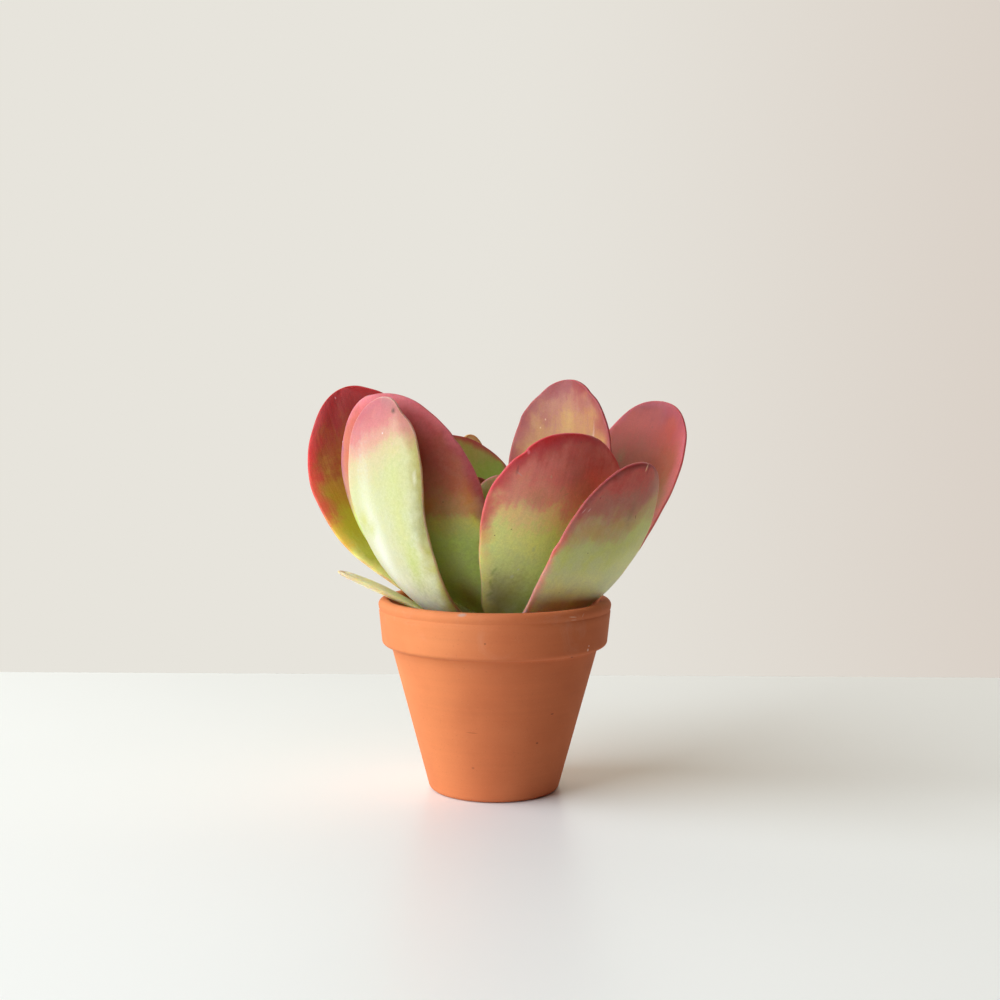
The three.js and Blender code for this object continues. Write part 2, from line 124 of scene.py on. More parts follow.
# tissue: colours of the middle of the blade from the stem to the tip, by share of the length.
# border: the same for the flushed border, on one leaf partly painted shade. border_mm: how wide that is on the side
# of -across and of +across.
# edge: the colour of the rim itself. slant: how much earlier the colours come on the side of +across, if they
# do. ragged: how uneven their fronts are. bloom: how much white wax powder lies at the stem and at the tip.
LEAF_LOOKS = {
    "leaf_old_left": dict(
        tissue=((0.30, "d8d884"), (0.60, "f2eea8"), (0.80, "f8eec0"), (0.94, "f8ead2"), (1.0, "a06a54")),
        border=((0.40, "d8c47c"), (0.80, "ecdcb0"), (1.0, "a8725c")), border_mm=(1.0, 1.5), edge="ece0ac",
        ragged=0.05, bloom=(0.1, 0.2)),
    "leaf_old_back": dict(
        tissue=((0.15, "a9a763"), (0.50, "b6a45a"), (0.80, "c4a050"), (1.0, "c4a058")),
        border=((0.40, "b8744a"), (0.90, "c08a50")), border_mm=(2.0, 2.0), edge="c09458",
        ragged=0.12, bloom=(0.1, 0.1)),
    "leaf_outer_front_right": dict(
        tissue=((0.22, "e4f0c8"), (0.46, "e6e898"), (0.66, "ccd06c"), (0.76, "c49e5c"), (0.86, "bc6858"),
                (0.95, "cc5248")),
        border=((0.32, "e8a8a0"), (0.52, "f0a090"), (0.68, "e85450"), (0.84, "b42c30"), (0.97, "8c1c20")),
        border_mm=(4.5, 2.0), edge="b8545c", slant=-0.12, ragged=0.16, bloom=(0.60, 0.10)),
    "leaf_outer_back_left": dict(
        tissue=((0.42, "ccd04c"), (0.58, "b8ac20"), (0.70, "b07e1a"), (0.82, "984006"), (0.95, "920e04")),
        border=((0.40, "fcf8a0"), (0.54, "ecd054"), (0.66, "d86846"), (0.80, "d63732"), (0.97, "a20e10")),
        border_mm=(6.0, 8.0), edge="b43034", ragged=0.20, bloom=(0.04, 0.0)),
    "leaf_outer_front_left": dict(
        tissue=((0.25, "f8f8d0"), (0.45, "ccc89e"), (0.72, "c2be88"), (0.80, "c8b688"), (0.86, "cc9480"),
                (0.91, "c67270"), (1.0, "b85c64")),
        # on this leaf the wide border on the side of +across is partly its own olive green and partly painted shade,
        # where the blade turns away from the window
        border=((0.30, "beb436"), (0.50, "867c1e"), (0.74, "a2923c"), (0.86, "b4685a"), (0.95, "b66c6a")),
        border_mm=(0.8, 9.0), edge="e0bcac", slant=-0.07, ragged=0.09, bloom=(0.50, 0.05)),
    "leaf_outer_back_right": dict(
        tissue=((0.40, "b09058"), (0.66, "a87850"), (0.78, "b2583e"), (0.90, "b84a3c"), (1.0, "963034")),
        border=((0.30, "c8685c"), (0.70, "c86c64"), (0.85, "ca6068"), (0.97, "ac4650")),
        border_mm=(8.0, 4.0), edge="bc4c52", ragged=0.12, bloom=(0.15, 0.02)),
    "leaf_inner_front_right": dict(
        # the first stop, darker at the stem, is painted shade deep in the rosette
        tissue=((0.16, "b0b26a"), (0.38, "e2ec98"), (0.52, "eef090"), (0.62, "f8de96"), (0.72, "f2a288"),
                (0.84, "ec8c80"), (0.95, "d86862")),
        border=((0.32, "fcfc98"), (0.46, "f0c47a"), (0.60, "de6662"), (0.78, "d43a4c"), (0.97, "cc182a")),
        border_mm=(8.0, 5.0), edge="b83e4c", ragged=0.24, bloom=(0.26, 0.08)),
    "leaf_inner_back_left": dict(
        tissue=((0.30, "8c9440"), (0.80, "9ab44a"), (0.92, "aca454"), (1.0, "b4644c")),
        border=((0.40, "a07c4a"), (0.90, "b05448")), border_mm=(5.0, 4.0), edge="883438",
        ragged=0.14, bloom=(0.12, 0.05)),
    "leaf_inner_front_left": dict(
        tissue=((0.22, "d0ec84"), (0.42, "c4dc66"), (0.505, "ccc858"), (0.56, "c88c46"), (0.66, "c06a48"),
                (0.80, "bc5c4a"), (0.97, "cc5c5c")),
        border=((0.37, "b4b454"), (0.53, "883a40"), (0.76, "b84e60"), (0.96, "dc787e")),
        border_mm=(4.0, 8.0), edge="b87480", slant=0.155, ragged=0.12, bloom=(0.22, 0.03)),
    "leaf_inner_back_right": dict(
        tissue=((0.40, "bca060"), (0.66, "cca05c"), (0.80, "c08654"), (0.90, "b4705a"), (1.0, "a45250")),
        border=((0.40, "a46450"), (0.75, "a84848"), (0.95, "9c3c40")), border_mm=(10.0, 12.0), edge="a44854",
        ragged=0.32, bloom=(0.12, 0.08)),
    "leaf_young_front_right": dict(
        tissue=((0.25, "88ac50"), (0.55, "68b040"), (0.80, "70b048"), (1.0, "c8c090")),
        border=((0.40, "a89870"), (0.90, "cc8888")), border_mm=(1.0, 1.0), edge="d08c90",
        ragged=0.14, bloom=(0.2, 0.1)),
    "leaf_young_back_left": dict(
        tissue=((0.25, "a4a85c"), (0.60, "9c984c"), (0.85, "9c7648"), (1.0, "a86050")),
        border=((0.40, "a06c54"), (0.90, "a05c58")), border_mm=(3.0, 3.0), edge="a05860",
        ragged=0.14, bloom=(0.2, 0.1)),
    "leaf_bud_front_left": dict(
        tissue=((0.20, "a2a566"), (0.70, "9a9458"), (1.0, "9a6450")),
        border=((0.30, "9a7c50"), (0.90, "9a5c50")), border_mm=(0.8, 0.8), edge="984c4c",
        ragged=0.10, bloom=(0.2, 0.2)),
}
LEAF_LOOKS["leaf_bud_back_right"] = LEAF_LOOKS["leaf_bud_front_left"]

# Marks by age and handling, and two painted highlights, on the inner side (1) or outer side (-1): share of the
# length, place across (-1 to 1), degrees turned from lengthwise, length and width in mm, colour and strength.
LEAF_MARKS = {
    "leaf_outer_front_left": (-1, (
        # the second mark here, a pale streak near the right edge, is partly a scratch and partly a painted highlight
        (0.948, 0.62, 0, 3.8, 3.6, "5c3c34", 0.85), (0.72, 0.84, 0, 9, 3.0, "f6f4ea", 0.25),
        (0.45, -0.55, 0, 90, 14, "f6f6ee", 0.5), (0.52, 0.36, 0, 90, 15, "c4c864", 0.4),
        (0.578, -0.74, -35, 13, 8, "bcbc58", 0.65), (0.550, -0.58, -45, 12, 7, "bcbc58", 0.6),
        (0.40, 0.36, -20, 28, 9, "b8c460", 0.55), (0.47, 0.75, 10, 10, 4, "d8c09c", 0.25),
        (0.87, 0.12, 0, 1.0, 0.8, "f8ece4", 0.7), (0.30, -0.30, 5, 24, 5, "eef0dc", 0.5))),
    "leaf_inner_front_left": (-1, (
        (0.884, -0.97, 0, 1.4, 1.2, "f6eae6", 0.9), (0.864, -0.92, 0, 4, 3, "8c4c6c", 0.7),
        (0.80, -0.96, 0, 70, 9, "a85c72", 0.6),
        (0.33, 0.62, 0, 60, 14, "8c9468", 0.35))),
    "leaf_inner_front_right": (-1, (
        # the first mark here is a painted highlight on the edge of the nick in the margin
        (0.897, -0.95, 0, 2.6, 2.0, "f48ca0", 0.8), (0.80, -0.78, 65, 5, 0.7, "e0b4ac", 0.7),
        (0.815, -0.84, 5, 5, 1.6, "5c1c2a", 0.35), (0.804, -0.32, 20, 2.0, 1.2, "e8c8a0", 0.7),
        (0.755, -0.10, -30, 5, 0.8, "d4ac84", 0.6), (0.735, -0.02, -60, 6, 0.8, "d4ac84", 0.6),
        (0.315, -0.75, -5, 7, 1.8, "84a43c", 0.3), (0.25, -0.80, 25, 6, 1.8, "84a43c", 0.3),
        (0.18, -0.80, -15, 6, 1.8, "84a43c", 0.3), (0.358, -0.35, 0, 1.5, 1.2, "e4ead6", 0.7),
        (0.474, -0.22, 0, 3.5, 2.6, "ccd6a0", 0.5), (0.315, -0.42, 0, 2.6, 2.0, "dfe6cc", 0.6),
        (0.50, -0.80, 0, 1.0, 0.8, "7a4028", 0.7), (0.546, -0.60, 0, 0.9, 0.8, "7a4028", 0.6),
        (0.82, 0.10, 15, 20, 14, "c88078", 0.4), (0.70, -0.40, 20, 12, 12, "c89468", 0.35),
        (0.74, 0.30, 0, 14, 10, "c87c6c", 0.35))),
    "leaf_outer_front_right": (-1, (
        (0.985, -0.10, 0, 4.6, 1.0, "f4d0a4", 0.85), (0.975, 0.06, 0, 4.2, 0.9, "8c2c2c", 0.7),
        (0.789, 0.23, 30, 3.2, 1.0, "8a4a30", 0.8), (0.604, -0.42, 0, 0.9, 0.8, "4c2838", 0.8),
        (0.758, -0.92, -20, 3.4, 0.7, "e0bcb4", 0.6), (0.768, -0.84, -20, 3.0, 0.7, "e0bcb4", 0.6),
        (0.825, -0.80, 0, 1.2, 1.0, "a02c34", 0.7), (0.80, 0.05, 10, 16, 6, "7c4c48", 0.3))),
    "leaf_inner_back_right": (1, (
        (0.844, 0.48, 0, 1.4, 1.1, "f4e0b8", 0.7), (0.81, 0.55, 0, 1.1, 0.9, "f4e0b8", 0.6),
        (0.82, -0.02, 0, 26, 9, "d4b464", 0.45), (0.90, -0.45, 20, 10, 7, "a4564c", 0.45),
        (0.86, 0.50, -10, 12, 6, "a85c50", 0.4), (0.72, -0.70, 0, 14, 6, "a4504c", 0.4),
        (0.78, -0.60, 5, 16, 1.6, "e4c4b4", 0.4), (0.86, 0.22, -3, 14, 3, "b87868", 0.4))),
    "leaf_outer_back_left": (1, (
        (0.978, 0.38, 0, 1.6, 1.1, "cc9494", 0.6), (0.84, 0.15, 10, 22, 9, "7c4420", 0.35))),
    "leaf_outer_back_right": (1, (
        (0.772, 0.45, 0, 12, 6, "8c7c4c", 0.4), (0.93, -0.30, 0, 10, 5, "a85058", 0.2))),
}

# How the outline bulges and dips: the side (-1 or 1), share of the length, reach as a share, and mm outward.
LEAF_OUTLINES = {
    "leaf_outer_back_left": ((1, 0.43, 0.12, 0.5), (1, 0.73, 0.05, 0.7), (1, 0.93, 0.07, -1.2),
                             (-1, 0.97, 0.02, -0.7)),
    "leaf_inner_front_left": ((-1, 0.77, 0.09, 1.2), (1, 0.73, 0.02, -0.5), (1, 0.87, 0.10, -0.7)),
    "leaf_outer_front_left": ((-1, 0.66, 0.09, 2.1), (-1, 0.94, 0.06, -1.4), (1, 0.59, 0.10, -1.5),
                              (1, 0.945, 0.035, -2.8)),
    "leaf_inner_front_right": ((-1, 0.45, 0.07, -0.7), (-1, 0.71, 0.07, 1.0), (-1, 0.89, 0.02, -1.2),
                               (-1, 0.97, 0.03, 0.9), (1, 0.89, 0.03, 0.5)),
    "leaf_outer_front_right": ((-1, 0.56, 0.03, 0.55), (-1, 0.61, 0.015, -0.3), (-1, 0.80, 0.09, 0.7),
                               (1, 0.57, 0.03, -0.4), (1, 0.64, 0.025, 0.7), (1, 0.80, 0.05, -0.4)),
    "leaf_outer_back_right": ((-1, 0.47, 0.05, 2.4), (-1, 0.63, 0.04, -0.8), (-1, 0.90, 0.03, 0.6),
                              (1, 0.92, 0.07, -0.6)),
    "leaf_inner_back_right": ((-1, 0.80, 0.04, 0.3), (-1, 0.95, 0.018, -1.3), (1, 0.86, 0.03, 0.8),
                              (1, 0.945, 0.025, -1.0)),
    "leaf_inner_back_left": ((-1, 0.85, 0.03, 0.6), (-1, 0.945, 0.035, -0.9), (1, 0.80, 0.05, -0.5)),
    "leaf_old_left": ((-1, 0.72, 0.16, 1.6), (1, 0.80, 0.12, 0.5)),
    "leaf_old_back": ((1, 0.96, 0.03, -0.8), (-1, 0.90, 0.05, 0.4)),
}

# How pointed some tips are (0 round, 1 sharp), and the mm that they reach farther and across.
LEAF_TIPS = {"leaf_inner_back_right": (0.12, 0.5, 0.0), "leaf_outer_front_left": (0.30, -1.4, 3.0),
             "leaf_old_left": (0.70, 0.4, 0.0), "leaf_outer_front_right": (0.15, 0.3, 0.0),
             "leaf_outer_back_left": (0.10, 0.3, 0.0)}
# The outer side of these leaves keeps more of its white bloom than their inner side: how much more.
OUTER_BLOOM = {"leaf_outer_back_left": 0.28, "leaf_outer_back_right": 0.30, "leaf_inner_back_right": 0.25,
               "leaf_inner_back_left": 0.20, "leaf_old_back": 0.20}

LEAF_ROWS = 130
LEAF_SPANS = 36
LEAF_BASE_THICKNESS = 4.6
LEAF_TIP_THICKNESS = 2.4
LEAF_EDGE_THICKNESS = 1.3
SLIMMEST_LEAF = 5.0  # no leaf is thicker than its width divided by this
SHOULDER_POWER = 1.5
TIP_ROUNDNESS = 2.2  # 2 is an ellipse
NECK_SHARE = 0.12
NECK_NARROWING = 0.45
OUTLINE_WAVE = 0.22  # mm, at any width
# the relief of the blade in millimetres, for a leaf 60 mm wide or more
FULL_RELIEF_WIDTH = 60
GROOVE_DEPTH = 0.35
EDGE_SWAY = 0.45
DENT_DEPTH = 0.22
WALK_STEPS = 120
RIM_SAMPLES = 240
FACE_PLACE = 20.0  # the third number of a vertex's place: this on the inner side, minus this on the outer
WIDEST_SHARP_MARK = 8.0  # mm; wider marks have the softest outline

# ----------------------------------------
# Small tools
# ----------------------------------------

def linear(hex_color):
    """An sRGB hex colour as linear red, green, blue and alpha."""
    channels = [int(hex_color[i:i + 2], 16) / 255 for i in (0, 2, 4)]
    values = [c / 12.92 if c <= 0.04045 else ((c + 0.055) / 1.055) ** 2.4 for c in channels]
    return (*values, 1.0)


def add(tree, kind, inputs=None, stops=None, **settings):
    """Adds a node with its settings and links. An input is a value, a node to link, or one output of a node
    that has several. stops are the places and sRGB colours of a ramp."""
    node = tree.nodes.new("ShaderNode" + kind)
    for name, value in settings.items():
        setattr(node, name, value)
    for socket, value in (inputs or {}).items():
        if isinstance(value, bpy.types.Node):
            value = next(output for output in value.outputs if output.enabled)
        if isinstance(value, bpy.types.NodeSocket):
            tree.links.new(value, node.inputs[socket])
        else:
            node.inputs[socket].default_value = value
    if stops:
        ramp = node.color_ramp
        ramp.interpolation = "EASE"
        for _ in stops[2:]:
            ramp.elements.new(0.5)
        for element, (place, color) in zip(ramp.elements, stops):
            element.position = place
            element.color = linear(color)
    return node


def new_material(name):
    """A material without nodes, and the tree that they go into."""
    material = bpy.data.materials.new(name)
    material.use_nodes = True
    material.node_tree.nodes.clear()
    return material, material.node_tree


def make_object(name, points, faces, material, smooth=True):
    """points are in millimetres."""
    mesh = bpy.data.meshes.new(name)
    mesh.from_pydata([tuple(p) for p in np.asarray(points) * MM], [], faces)
    mesh.materials.append(material)
    mesh.polygons.foreach_set("use_smooth", [smooth] * len(mesh.polygons))
    mesh.update()
    obj = bpy.data.objects.new(name, mesh)
    bpy.context.scene.collection.objects.link(obj)
    return obj


def set_vectors(obj, name, values):
    """A vector for each vertex, which the material reads by its name."""
    attribute = obj.data.attributes.new(name, "FLOAT_VECTOR", "POINT")
    attribute.data.foreach_set("vector", np.asarray(values, dtype=np.float32).ravel())


def waves(x, seed, count=4, slowest=1.0):
    """A smooth made-up line through x, between about -1 and 1, the same for the same seed."""
    rng = np.random.default_rng(seed)
    total = np.zeros_like(x, dtype=float)
    for k in range(count):
        total += rng.uniform(0.4, 1.0) / (k + 1) * np.sin(slowest * (k + 1) * x + rng.uniform(0, 2 * np.pi))
    return total / 1.6


def ring_faces(rows, size, closed_rows=False):
    """Quads over rows of points, each row a closed ring."""
    faces = []
    last = rows if closed_rows else rows - 1
    for row in range(last):
        a = row * size
        b = ((row + 1) % rows) * size
        for i in range(size):
            j = (i + 1) % size
            faces.append((a + i, a + j, b + j, b + i))
    return faces


# ----------------------------------------
# Materials
# ----------------------------------------

def paint_mark(tree, color, where, noise, centre, size, turned, axis, fade, tint, strength):
    """A colour with a mark painted over it: a turned ellipse whose outline a noise breaks up. fade: how far
    out, in half widths, the mark has gone and where it is full."""
    offset = add(tree, "VectorMath", {0: where, 1: centre}, operation="SUBTRACT")
    offset = add(tree, "VectorRotate", {"Vector": offset, "Angle": math.radians(turned)}, rotation_type=axis)
    offset = add(tree, "VectorMath", {0: offset, 1: tuple(2 / v for v in size)}, operation="MULTIPLY")
    away = add(tree, "VectorMath", {0: offset}, operation="LENGTH")
    away = add(tree, "Math", {0: noise, 1: 1.2, 2: away}, operation="MULTIPLY_ADD")
    mask = add(tree, "MapRange", {0: away, 1: fade[0], 2: fade[1], 3: 0.0, 4: strength},
               interpolation_type="SMOOTHSTEP")
    return add(tree, "Mix", {0: mask, 6: color, 7: linear(tint)}, data_type="RGBA")


def leaf_tissue(name, look, marks, outer_bloom, form, seed):
    """Kalanchoe leaf, grown: firm, water-filled tissue under a thin wax that is partly rubbed off.
    Strong sun has flushed its tip and border red over green. It glows a little where light comes
    through, and shines softly."""
    material, tree = new_material(name)
    # shares along and across, and millimetres from the rim
    shares = add(tree, "Attribute", attribute_name="share").outputs["Vector"]
    along, side, rim = add(tree, "SeparateXYZ", {0: shares}).outputs
    # millimetres along and across, and which face
    place = add(tree, "Attribute", attribute_name="place").outputs["Vector"]
    face_side = add(tree, "SeparateXYZ", {0: place}).outputs[2]
    own = add(tree, "VectorMath", {0: place, 1: (37.0 * seed, 11.0 * seed, 0.0)})

    # blotches 11 mm across, mottling 2 mm across, and streaks 2 mm wide that run up the leaf
    broad = add(tree, "TexNoise", {"Vector": own, "Scale": 1 / 11, "Detail": 3.0})
    mottle = add(tree, "TexNoise", {"Vector": own, "Scale": 1 / 2, "Detail": 4.0, "Roughness": 0.6})
    lengthwise = add(tree, "VectorMath", {0: own, 1: (1 / 30, 1 / 2, 1 / 9)}, operation="MULTIPLY")
    streaks = add(tree, "TexNoise", {"Vector": lengthwise, "Scale": 1.0, "Detail": 3.0})

    # the colours follow the length of the leaf, slanted and ragged, less ragged toward the base; each noise is
    # about 0.5 in the mean, so that they add up to about 0
    noise = -1.0
    for value, amount in ((broad, 1.0), (mottle, 0.6), (streaks, 0.4)):
        noise = add(tree, "Math", {0: value, 1: amount, 2: noise}, operation="MULTIPLY_ADD")
    ragged = add(tree, "MapRange", {0: along, 1: 0.2, 2: 0.5, 3: look["ragged"] * 0.2, 4: look["ragged"]})
    front = add(tree, "Math", {0: noise, 1: ragged, 2: along}, operation="MULTIPLY_ADD")
    front = add(tree, "Math", {0: side, 1: look.get("slant", 0.0), 2: front}, operation="MULTIPLY_ADD")
    color = add(tree, "ValToRGB", {0: front}, look["tissue"])
    border = add(tree, "ValToRGB", {0: front}, look["border"])
    left_mm, right_mm = look["border_mm"]
    reach = add(tree, "MapRange", {0: side, 1: -0.4, 2: 0.4, 3: left_mm, 4: right_mm})
    uneven = add(tree, "MapRange", {0: broad, 1: 0.25, 2: 0.75, 3: 0.4, 4: 1.6})
    reach = add(tree, "Math", {0: reach, 1: uneven}, operation="MULTIPLY")
    near = add(tree, "MapRange", {0: rim, 1: reach, 2: 0.0}, interpolation_type="SMOOTHSTEP")
    color = add(tree, "Mix", {0: near, 6: color, 7: border}, data_type="RGBA")

    # wax bloom in soft patches, rubbed away in places
    patches = add(tree, "TexNoise", {"Vector": own, "Scale": 1 / 8, "Detail": 5.0, "Roughness": 0.6,
                                     "Distortion": 0.3})
    amount = add(tree, "MapRange", {0: along, 1: 0.2, 2: 0.9, 3: look["bloom"][0], 4: look["bloom"][1]})
    powder = add(tree, "MapRange", {0: patches, 1: 0.35, 2: 0.65, 3: 0.3, 4: 1.0}, interpolation_type="SMOOTHSTEP")
    outer = add(tree, "MapRange", {0: face_side, 1: FACE_PLACE, 2: -FACE_PLACE, 3: 0.0, 4: outer_bloom})
    amount = add(tree, "Math", {0: amount, 1: outer}, operation="ADD")
    powder = add(tree, "Math", {0: powder, 1: amount}, operation="MULTIPLY")
    color = add(tree, "Mix", {0: powder, 6: color, 7: linear("c8ccb4")}, data_type="RGBA")

    # the rim itself, half a millimetre wide
    thin = add(tree, "MapRange", {0: rim, 1: 0.8, 2: 0.2, 3: 0.0, 4: 0.5})
    color = add(tree, "Mix", {0: thin, 6: color, 7: linear(look["edge"])}, data_type="RGBA")

    # small corky dots about every 15 mm, then the leaf's own marks
    dots = add(tree, "TexVoronoi", {"Vector": own, "Scale": 1 / 15}).outputs["Distance"]
    dots = add(tree, "MapRange", {0: dots, 1: 0.030, 2: 0.012, 3: 0.0, 4: 0.7})
    color = add(tree, "Mix", {0: dots, 6: color, 7: linear("6e5230")}, data_type="RGBA")
    face, spots = marks
    for share, across, turned, long_mm, wide_mm, tint, strength in spots:
        centre = (share * form["length"], across * float(half_width(form, share)), FACE_PLACE * face)
        soft = min(long_mm, wide_mm, WIDEST_SHARP_MARK) / WIDEST_SHARP_MARK
        color = paint_mark(tree, color, place, mottle, centre, (long_mm, wide_mm, 2.0), turned, "Z_AXIS",
                           (1.7 + 0.3 * soft, 0.9 - 0.5 * soft), tint, strength)

    # cell mottling about 0.8 mm across, up to 8 percent lighter and darker
    fine = add(tree, "TexNoise", {"Vector": own, "Scale": 1 / 0.8, "Detail": 2.0})
    both = add(tree, "Math", {0: fine, 1: mottle}, operation="ADD")
    shade = add(tree, "MapRange", {0: both, 1: 0.7, 2: 1.3, 3: 0.92, 4: 1.08})
    color = add(tree, "Mix", {0: 1.0, 6: color, 7: shade}, data_type="RGBA", blend_type="MULTIPLY")

    gloss = add(tree, "MapRange", {0: patches, 1: 0.3, 2: 0.7, 3: 0.42, 4: 0.58})
    relief = add(tree, "Math", {0: streaks, 1: 1.6, 2: fine}, operation="MULTIPLY_ADD")
    bump = add(tree, "Bump", {"Height": relief, "Strength": 0.3, "Distance": 0.0002})
    surface = add(tree, "BsdfPrincipled", {
        "Base Color": color, "Roughness": gloss, "IOR": 1.38, "Normal": bump,
        "Subsurface Weight": 0.85, "Subsurface Scale": 0.0028, "Subsurface Radius": (1.0, 0.7, 0.3)})
    add(tree, "OutputMaterial", {"Surface": surface})
    return material


def terracotta():
    """Unglazed terracotta, shaped on a jigger and fired once: dry and finely porous, with faint turning
    rings and grit in it, and a thin lime bloom on the collar where watering has left it."""
    material, tree = new_material("terracotta_fired")
    where = add(tree, "TexCoord").outputs["Object"]
    sideways, _, height = add(tree, "SeparateXYZ", {0: where}).outputs
    # clouds 40 mm across, a shade lighter and darker
    broad = add(tree, "TexNoise", {"Vector": where, "Scale": 24.0, "Detail": 4.0})
    color = add(tree, "ValToRGB", {0: broad}, ((0.30, "d07440"), (0.50, "d87b45"), (0.72, "de834c")))
    # painted shade: the side to the right, away from the window, is made a little darker and redder
    painted_shade_side = add(tree, "MapRange", {0: sideways, 1: -0.032, 2: 0.006}, interpolation_type="SMOOTHSTEP")
    color = add(tree, "Mix", {0: painted_shade_side, 6: color, 7: linear("f0e3e8")}, data_type="RGBA", blend_type="MULTIPLY")
    # turning rings: level bands 1 to 3 mm apart
    flat = add(tree, "VectorMath", {0: where, 1: (12.0, 12.0, 700.0)}, operation="MULTIPLY")
    rings = add(tree, "TexNoise", {"Vector": flat, "Scale": 1.0, "Detail": 2.0})
    shade = add(tree, "MapRange", {0: rings, 1: 0.3, 2: 0.7, 3: 0.985, 4: 1.015})
    color = add(tree, "Mix", {0: 1.0, 6: color, 7: shade}, data_type="RGBA", blend_type="MULTIPLY")
    # grit: grains of 0.3 mm, drawn 0.8 mm apart so that they show, darker and paler than the clay
    grit = add(tree, "TexNoise", {"Vector": where, "Scale": 1250.0, "Detail": 1.0})
    # lime bloom, thin, on the collar
    lime = add(tree, "TexNoise", {"Vector": where, "Scale": 60.0, "Detail": 6.0, "Roughness": 0.7,
                                  "Distortion": 0.8})
    high = add(tree, "MapRange", {0: height, 1: 0.060, 2: 0.088, 3: 0.0, 4: 0.2})
    dusty = add(tree, "MapRange", {0: lime, 1: 0.54, 2: 0.74, 3: 0.0, 4: 1.0})
    dusty = add(tree, "Math", {0: dusty, 1: high}, operation="MULTIPLY")
    dark = add(tree, "MapRange", {0: grit, 1: 0.66, 2: 0.78, 3: 0.0, 4: 0.18})
    pale = add(tree, "MapRange", {0: grit, 1: 0.34, 2: 0.22, 3: 0.0, 4: 0.14})
    for mask, tint in ((dark, "8a4526"), (pale, "dc9a70"), (dusty, "dcae92")):
        color = add(tree, "Mix", {0: mask, 6: color, 7: linear(tint)}, data_type="RGBA")
    for at, size, turned, tint, strength in POT_MARKS:
        centre, size = (tuple(v * MM for v in values) for values in (at, size))
        color = paint_mark(tree, color, where, lime, centre, size, turned, "Y_AXIS", (1.7, 1.0), tint, strength)
    # pores and sand about 0.5 mm apart
    pores = add(tree, "TexNoise", {"Vector": where, "Scale": 2200.0, "Detail": 3.0})
    relief = add(tree, "Math", {0: rings, 1: 0.5, 2: pores}, operation="MULTIPLY_ADD")
    bump = add(tree, "Bump", {"Height": relief, "Strength": 0.25, "Distance": 0.00015})
    surface = add(tree, "BsdfPrincipled", {"Base Color": color, "Roughness": 0.82, "IOR": 1.5, "Normal": bump})
    add(tree, "OutputMaterial", {"Surface": surface})
    return material


def potting_mix():
    """Peat and composted bark, crumbled and poured: dark brown crumbs with paler fibres, quite dull."""
    material, tree = new_material("potting_mix_crumbled")
    where = add(tree, "TexCoord").outputs["Object"]
    # crumbs 2 mm across, and fibres 3 mm long
    crumbs = add(tree, "TexVoronoi", {"Vector": where, "Scale": 520.0}).outputs
    color = add(tree, "ValToRGB", {0: crumbs["Color"]}, ((0.1, "221710"), (0.5, "3a2a1e"), (0.85, "5a4430")))
    fibre = add(tree, "TexNoise", {"Vector": where, "Scale": 300.0, "Detail": 5.0, "Distortion": 2.5})
    pale = add(tree, "MapRange", {0: fibre, 1: 0.62, 2: 0.72, 3: 0.0, 4: 0.6})
    color = add(tree, "Mix", {0: pale, 6: color, 7: linear("7d6040")}, data_type="RGBA")
    bump = add(tree, "Bump", {"Height": crumbs["Distance"], "Strength": 0.8, "Distance": 0.0008})
    surface = add(tree, "BsdfPrincipled", {"Base Color": color, "Roughness": 0.95, "IOR": 1.4, "Normal": bump})
    add(tree, "OutputMaterial", {"Surface": surface})
    return material


def loose_bits(name, colors, grain_mm, roughness):
    """Loose bits on the soil, each in a colour of its own by where it lies, with a broken, grainy face."""
    material, tree = new_material(name)
    where = add(tree, "TexCoord").outputs["Object"]
    # a new colour about every 4 mm, so that most bits have one
    patch = add(tree, "TexVoronoi", {"Vector": where, "Scale": 240.0}).outputs["Color"]
    color = add(tree, "ValToRGB", {0: patch}, colors)
    grain = add(tree, "TexNoise", {"Vector": where, "Scale": 1000 / grain_mm, "Detail": 4.0})
    shade = add(tree, "MapRange", {0: grain, 1: 0.3, 2: 0.7, 3: 0.75, 4: 1.15})
    color = add(tree, "Mix", {0: 1.0, 6: color, 7: shade}, data_type="RGBA", blend_type="MULTIPLY")
    bump = add(tree, "Bump", {"Height": grain, "Strength": 0.5, "Distance": 0.0003})
    surface = add(tree, "BsdfPrincipled", {"Base Color": color, "Roughness": roughness, "IOR": 1.45, "Normal": bump})
    add(tree, "OutputMaterial", {"Surface": surface})
    return material


def stem_bark(name, low, high):
    """Young kalanchoe stem, grown: smooth green skin above, turning to thin grey-brown cork below. Its roots
    have the same skin in paler browns."""
    material, tree = new_material(name)
    where = add(tree, "TexCoord").outputs["Object"]
    height = add(tree, "SeparateXYZ", {0: where}).outputs[2]
    # cork patches 4 mm across, more of them low down, and cracks 1.4 mm apart that run up the stem
    patches = add(tree, "TexNoise", {"Vector": where, "Scale": 260.0, "Detail": 5.0})
    rise = add(tree, "MapRange", {0: height, 1: 0.060, 2: 0.078, 3: -0.2, 4: 1.0})
    mixed = add(tree, "Math", {0: patches, 1: 0.5, 2: rise}, operation="MULTIPLY_ADD")
    color = add(tree, "ValToRGB", {0: mixed}, ((0.1, low), (0.9, high)))
    upward = add(tree, "VectorMath", {0: where, 1: (700.0, 700.0, 120.0)}, operation="MULTIPLY")
    cracks = add(tree, "TexNoise", {"Vector": upward, "Scale": 1.0, "Detail": 3.0})
    bump = add(tree, "Bump", {"Height": cracks, "Strength": 0.5, "Distance": 0.0004})
    surface = add(tree, "BsdfPrincipled", {
        "Base Color": color, "Roughness": 0.6, "IOR": 1.42, "Normal": bump,
        "Subsurface Weight": 0.05, "Subsurface Scale": 0.001})
    add(tree, "OutputMaterial", {"Surface": surface})
    return material


# ----------------------------------------
# Leaves
# ----------------------------------------

